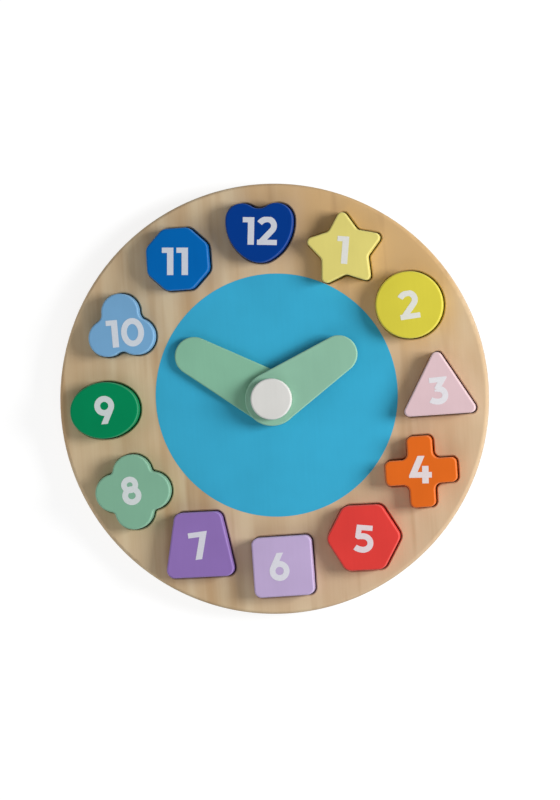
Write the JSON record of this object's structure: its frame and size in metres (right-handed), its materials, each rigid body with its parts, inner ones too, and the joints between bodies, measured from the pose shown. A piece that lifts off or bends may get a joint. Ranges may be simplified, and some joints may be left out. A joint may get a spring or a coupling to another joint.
{
  "type": "shape-sorting teaching clock",
  "caption": "Round wooden puzzle clock: loose shaped number blocks in recesses around a painted dial with free-turning hands.",
  "frame": {"origin": "centre of the flat back face, which the clock lies on", "axes": "+Z is the dial's outward normal, +Y points from the centre to 12 o'clock, +X to 3 o'clock"},
  "size_m": [0.22, 0.22, 0.0228],
  "materials": {
    "board_wood": "clear matt lacquer",
    "panel_wood": "clear matt lacquer",
    "dowel_wood": "bare",
    "washer_plastic": "matt",
    "paint_hand_dark": "satin paint",
    "paint_hand_light": "satin paint",
    "paint_white": "satin paint",
    "paint_pale_yellow": "satin paint",
    "paint_yellow": "satin paint",
    "paint_pink": "satin paint",
    "paint_orange": "satin paint",
    "paint_red": "satin paint",
    "paint_lilac": "satin paint",
    "paint_purple": "satin paint",
    "paint_sage": "satin paint",
    "paint_green": "satin paint",
    "paint_light_blue": "satin paint",
    "paint_blue": "satin paint",
    "paint_dark_blue": "satin paint"
  },
  "bodies": {
    "clock_board": {"back_panel": "panel_wood", "face_board": "board_wood", "axle_pin": "dowel_wood", "lower_washer": "washer_plastic", "middle_washer": "washer_plastic", "upper_washer": "washer_plastic", "hub_cap": "paint_white"},
    "minute_hand": {"minute_hand": "paint_hand_light"},
    "hour_hand": {"hour_hand": "paint_hand_dark"},
    "block_01_star": {"block_01_star": "paint_pale_yellow"},
    "block_02_circle": {"block_02_circle": "paint_yellow"},
    "block_03_triangle": {"block_03_triangle": "paint_pink"},
    "block_04_cross": {"block_04_cross": "paint_orange"},
    "block_05_hexagon": {"block_05_hexagon": "paint_red"},
    "block_06_square": {"block_06_square": "paint_lilac"},
    "block_07_trapezoid": {"block_07_trapezoid": "paint_purple"},
    "block_08_quatrefoil": {"block_08_quatrefoil": "paint_sage"},
    "block_09_oval": {"block_09_oval": "paint_green"},
    "block_10_trefoil": {"block_10_trefoil": "paint_light_blue"},
    "block_11_octagon": {"block_11_octagon": "paint_blue"},
    "block_12_heart": {"block_12_heart": "paint_dark_blue"}
  },
  "joints": [
    {"name": "minute_hand_turn", "type": "hinge", "parent": "clock_board", "child": "minute_hand", "pos_m": [0, 0, 0.0139], "axis": [0, 0, 1], "continuous": true},
    {"name": "hour_hand_turn", "type": "hinge", "parent": "clock_board", "child": "hour_hand", "pos_m": [0, 0, 0.0173], "axis": [0, 0, 1], "continuous": true},
    {"name": "block_01_star_lift", "type": "slide", "parent": "clock_board", "child": "block_01_star", "axis": [0, 0, 1], "range_m": [0, 0.03]},
    {"name": "block_02_circle_lift", "type": "slide", "parent": "clock_board", "child": "block_02_circle", "axis": [0, 0, 1], "range_m": [0, 0.03]},
    {"name": "block_03_triangle_lift", "type": "slide", "parent": "clock_board", "child": "block_03_triangle", "axis": [0, 0, 1], "range_m": [0, 0.03]},
    {"name": "block_04_cross_lift", "type": "slide", "parent": "clock_board", "child": "block_04_cross", "axis": [0, 0, 1], "range_m": [0, 0.03]},
    {"name": "block_05_hexagon_lift", "type": "slide", "parent": "clock_board", "child": "block_05_hexagon", "axis": [0, 0, 1], "range_m": [0, 0.03]},
    {"name": "block_06_square_lift", "type": "slide", "parent": "clock_board", "child": "block_06_square", "axis": [0, 0, 1], "range_m": [0, 0.03]},
    {"name": "block_07_trapezoid_lift", "type": "slide", "parent": "clock_board", "child": "block_07_trapezoid", "axis": [0, 0, 1], "range_m": [0, 0.03]},
    {"name": "block_08_quatrefoil_lift", "type": "slide", "parent": "clock_board", "child": "block_08_quatrefoil", "axis": [0, 0, 1], "range_m": [0, 0.03]},
    {"name": "block_09_oval_lift", "type": "slide", "parent": "clock_board", "child": "block_09_oval", "axis": [0, 0, 1], "range_m": [0, 0.03]},
    {"name": "block_10_trefoil_lift", "type": "slide", "parent": "clock_board", "child": "block_10_trefoil", "axis": [0, 0, 1], "range_m": [0, 0.03]},
    {"name": "block_11_octagon_lift", "type": "slide", "parent": "clock_board", "child": "block_11_octagon", "axis": [0, 0, 1], "range_m": [0, 0.03]},
    {"name": "block_12_heart_lift", "type": "slide", "parent": "clock_board", "child": "block_12_heart", "axis": [0, 0, 1], "range_m": [0, 0.03]}
  ]
}
